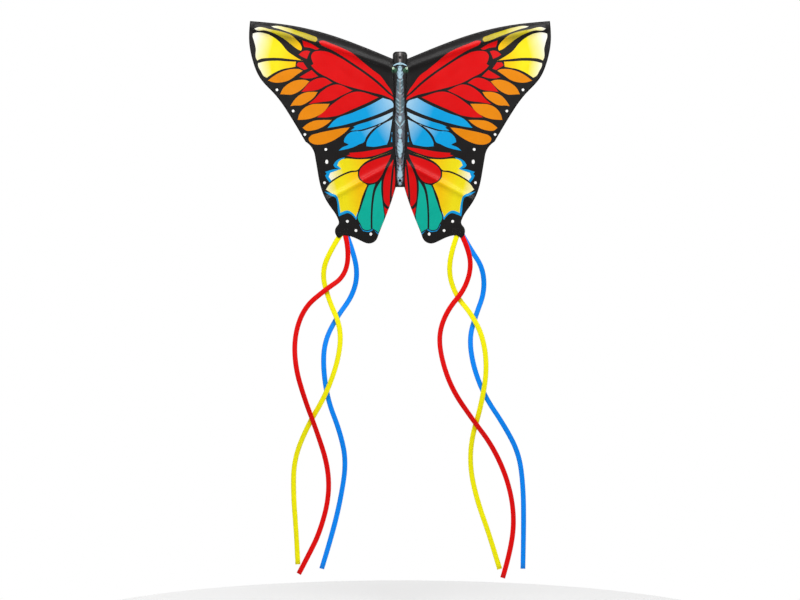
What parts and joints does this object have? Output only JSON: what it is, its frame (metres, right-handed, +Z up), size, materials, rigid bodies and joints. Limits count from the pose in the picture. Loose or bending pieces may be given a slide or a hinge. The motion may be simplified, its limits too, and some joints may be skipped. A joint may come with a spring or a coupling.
{
  "type": "butterfly kite",
  "caption": "Single-line kite shaped like a butterfly: printed sail halves on a sleeved spine, curved and straight spars on flexible joiners, long ribbon tails.",
  "frame": {"origin": "middle of the upper bridle eyelet, halfway through the front panel's cloth", "axes": "+Z up along the spine; -Y out of the printed face, towards the flyer; +X to the right of someone facing the printed face"},
  "size_m": [0.9529, 0.0438, 1.7573],
  "materials": {
    "sail_cloth": "thin printed ripstop, satin",
    "sleeve_cloth": "printed cloth, satin",
    "hem_cloth": "black reinforcing cloth",
    "spar": "resin-bonded fibreglass rod",
    "end_cap": "soft vinyl",
    "flex_tube": "flexible vinyl tube",
    "hub": "moulded",
    "eyelet": "black coated brass",
    "ribbon_red": "polyester ribbon, satin",
    "ribbon_yellow": "polyester ribbon, satin",
    "ribbon_blue": "polyester ribbon, satin"
  },
  "bodies": {
    "spine": {"spine_rod": "spar", "spine_top_cap": "end_cap", "spine_bottom_cap": "end_cap", "body_front_panel": "sleeve_cloth", "body_back_panel": "sleeve_cloth", "upper_hub": "hub", "lower_hub": "hub", "upper_bridle_eyelet": "eyelet", "lower_bridle_eyelet": "eyelet"},
    "left_wing": {"left_sail": "sail_cloth", "left_upper_spar": "spar", "left_lower_spar": "spar", "left_upper_flex_tube": "flex_tube", "left_lower_flex_tube": "flex_tube", "left_upper_spar_cap": "end_cap", "left_lower_spar_cap": "end_cap", "left_wing_tip_pocket": "hem_cloth", "left_lower_edge_pocket": "hem_cloth", "left_leading_edge_sleeve": "hem_cloth", "left_tail_tab": "hem_cloth", "left_tail_red": "ribbon_red", "left_tail_yellow": "ribbon_yellow", "left_tail_blue": "ribbon_blue"},
    "right_wing": {"right_sail": "sail_cloth", "right_upper_spar": "spar", "right_lower_spar": "spar", "right_upper_flex_tube": "flex_tube", "right_lower_flex_tube": "flex_tube", "right_upper_spar_cap": "end_cap", "right_lower_spar_cap": "end_cap", "right_wing_tip_pocket": "hem_cloth", "right_lower_edge_pocket": "hem_cloth", "right_leading_edge_sleeve": "hem_cloth", "right_tail_tab": "hem_cloth", "right_tail_red": "ribbon_red", "right_tail_yellow": "ribbon_yellow", "right_tail_blue": "ribbon_blue"}
  },
  "joints": [
    {"name": "left_wing_fold", "type": "hinge", "parent": "spine", "child": "left_wing", "pos_m": [-0.02, 0.012, -0.177], "axis": [0, 0, -1], "range_deg": [0, 85], "stiffness_Nm_per_rad": 0.3, "deforming": ["left_upper_flex_tube", "left_lower_flex_tube"]},
    {"name": "right_wing_fold", "type": "hinge", "parent": "spine", "child": "right_wing", "pos_m": [0.02, 0.012, -0.177], "axis": [0, 0, 1], "range_deg": [0, 85], "stiffness_Nm_per_rad": 0.3, "deforming": ["right_upper_flex_tube", "right_lower_flex_tube"]}
  ]
}
